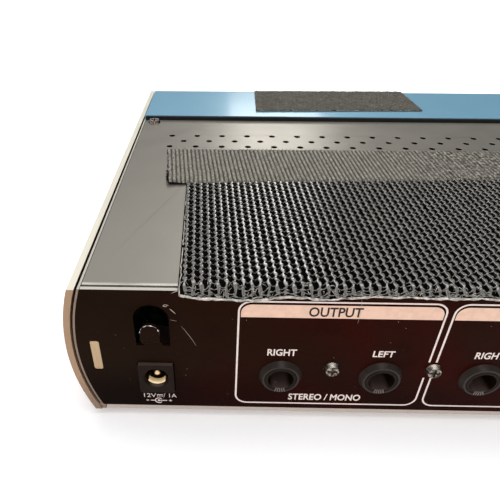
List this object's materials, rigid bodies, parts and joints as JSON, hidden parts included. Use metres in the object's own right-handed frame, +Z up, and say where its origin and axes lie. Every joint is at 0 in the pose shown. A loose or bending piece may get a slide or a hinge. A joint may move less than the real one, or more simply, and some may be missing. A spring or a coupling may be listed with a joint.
{
  "type": "rack effects unit",
  "caption": "Low metal audio effects unit with bowed side cheeks, rear socket panel with a cable hook, vented top, blue front shell with knobs, keys and display, and hook-and-loop tape.",
  "frame": {"origin": "under the middle of the box, on the plane that the rubber feet stand on", "axes": "+Z up, +Y from the rear socket panel to the front control panel, +X to the right of somebody who looks at the rear panel"},
  "size_m": [0.2164, 0.1652, 0.0475],
  "materials": {
    "plate_paint": "satin warm grey paint over sheet steel",
    "panel_paint": "satin black paint over sheet steel",
    "shell_blue": "satin metallic blue",
    "cheek_metal": "fine satin, warm silver",
    "frame_steel": "plain folded steel",
    "base_steel": "satin pale paint",
    "rail_steel": "zinc plated",
    "screw_steel": "nickel plated",
    "black_screw": "black oxide",
    "foot_rubber": "matte moulded rubber",
    "gasket_rubber": "black foam strip",
    "socket_black": "moulded, slightly shiny",
    "nut_black": "moulded ring nut",
    "contact_gold": "bright plated",
    "usb_shell": "folded tin-plated shell",
    "usb_white": "moulded",
    "board_green": "solder mask",
    "chip_black": "moulded package",
    "can_metal": "printed can",
    "sink_metal": "black anodised",
    "spacer_brass": "nickel-free brass",
    "ribbon_grey": "flat grey ribbon",
    "header_black": "moulded",
    "knob_black": "fine matte with turned top",
    "shaft_steel": "turned",
    "control_case": "pressed case",
    "key_grey": "translucent grey silicone",
    "power_white": "moulded",
    "display_case": "moulded frame",
    "lens_glass": "smoked clear lens",
    "light_pipe": "clear tinted light pipe",
    "hook_tape": "black woven tape with stiff nylon hooks",
    "loop_tape": "dusty dark loop pile"
  },
  "bodies": {
    "chassis": {"base_pan": "base_steel", "end_frame_left": "frame_steel", "end_frame_right": "frame_steel", "cheek_left": "cheek_metal", "cheek_right": "cheek_metal", "cheek_screws": "black_screw", "rear_panel": "panel_paint", "top_plate": "plate_paint", "front_shell": "shell_blue", "cross_rail": "rail_steel", "seam_gasket": "gasket_rubber", "rubber_feet": "foot_rubber", "plate_screws": "screw_steel", "panel_screws": "screw_steel", "panel_bosses": "socket_black", "base_screws": "black_screw", "output_jack_right": "socket_black", "output_jack_left": "socket_black", "input_jack_right": "socket_black", "input_jack_left": "socket_black", "pedal_jack": "socket_black", "jack_nuts": "nut_black", "jack_contacts": "contact_gold", "power_inlet": "socket_black", "inlet_contacts": "contact_gold", "control_socket": "socket_black", "usb_socket": "usb_shell", "usb_tongue": "usb_white", "main_board": "board_green", "board_standoffs": "spacer_brass", "board_screws": "screw_steel", "board_chips": "chip_black", "capacitors": "can_metal", "heat_sink": "sink_metal", "front_board": "board_green", "ribbon_headers": "header_black", "ribbon_cable": "ribbon_grey", "control_bodies": "control_case", "switch_bodies": "header_black", "display_module": "display_case", "display_lens": "lens_glass", "status_lights": "light_pipe", "hook_tape_pad": "hook_tape", "loop_tape_strip": "loop_tape", "loop_tape_patch": "loop_tape"},
    "gain_control": {"gain_knob": "knob_black", "gain_shaft": "shaft_steel"},
    "mix_control": {"mix_knob": "knob_black", "mix_shaft": "shaft_steel"},
    "select_control": {"select_knob": "knob_black", "select_shaft": "shaft_steel"},
    "level_control": {"level_knob": "knob_black", "level_shaft": "shaft_steel"},
    "soft_key_left_cap": {"soft_key_left": "key_grey"},
    "soft_key_middle_cap": {"soft_key_middle": "key_grey"},
    "soft_key_right_cap": {"soft_key_right": "key_grey"},
    "bypass_button_cap": {"bypass_button": "key_grey"},
    "tap_button_cap": {"tap_button": "key_grey"},
    "power_button_cap": {"power_button": "power_white"}
  },
  "joints": [
    {"name": "gain_turn", "type": "hinge", "parent": "chassis", "child": "gain_control", "pos_m": [0.066, 0.06795, 0.0245], "axis": [0, 1, 0], "range_deg": [-150, 150]},
    {"name": "mix_turn", "type": "hinge", "parent": "chassis", "child": "mix_control", "pos_m": [0.046, 0.06795, 0.0245], "axis": [0, 1, 0], "range_deg": [-150, 150]},
    {"name": "select_turn", "type": "hinge", "parent": "chassis", "child": "select_control", "pos_m": [-0.044, 0.06795, 0.0245], "axis": [0, 1, 0], "continuous": true},
    {"name": "level_turn", "type": "hinge", "parent": "chassis", "child": "level_control", "pos_m": [-0.088, 0.06795, 0.0245], "axis": [0, 1, 0], "range_deg": [-150, 150]},
    {"name": "soft_key_left_press", "type": "slide", "parent": "chassis", "child": "soft_key_left_cap", "axis": [0, -1, 0], "range_m": [0, 0.001], "stiffness_N_per_m": 600, "springref_m": -0.0005},
    {"name": "soft_key_middle_press", "type": "slide", "parent": "chassis", "child": "soft_key_middle_cap", "axis": [0, -1, 0], "range_m": [0, 0.001], "stiffness_N_per_m": 600, "springref_m": -0.0005},
    {"name": "soft_key_right_press", "type": "slide", "parent": "chassis", "child": "soft_key_right_cap", "axis": [0, -1, 0], "range_m": [0, 0.001], "stiffness_N_per_m": 600, "springref_m": -0.0005},
    {"name": "bypass_button_press", "type": "slide", "parent": "chassis", "child": "bypass_button_cap", "axis": [0, -1, 0], "range_m": [0, 0.001], "stiffness_N_per_m": 600, "springref_m": -0.0005},
    {"name": "tap_button_press", "type": "slide", "parent": "chassis", "child": "tap_button_cap", "axis": [0, -1, 0], "range_m": [0, 0.001], "stiffness_N_per_m": 600, "springref_m": -0.0005},
    {"name": "power_button_press", "type": "slide", "parent": "chassis", "child": "power_button_cap", "axis": [0, -1, 0], "range_m": [0, 0.001], "stiffness_N_per_m": 600, "springref_m": -0.0005}
  ]
}
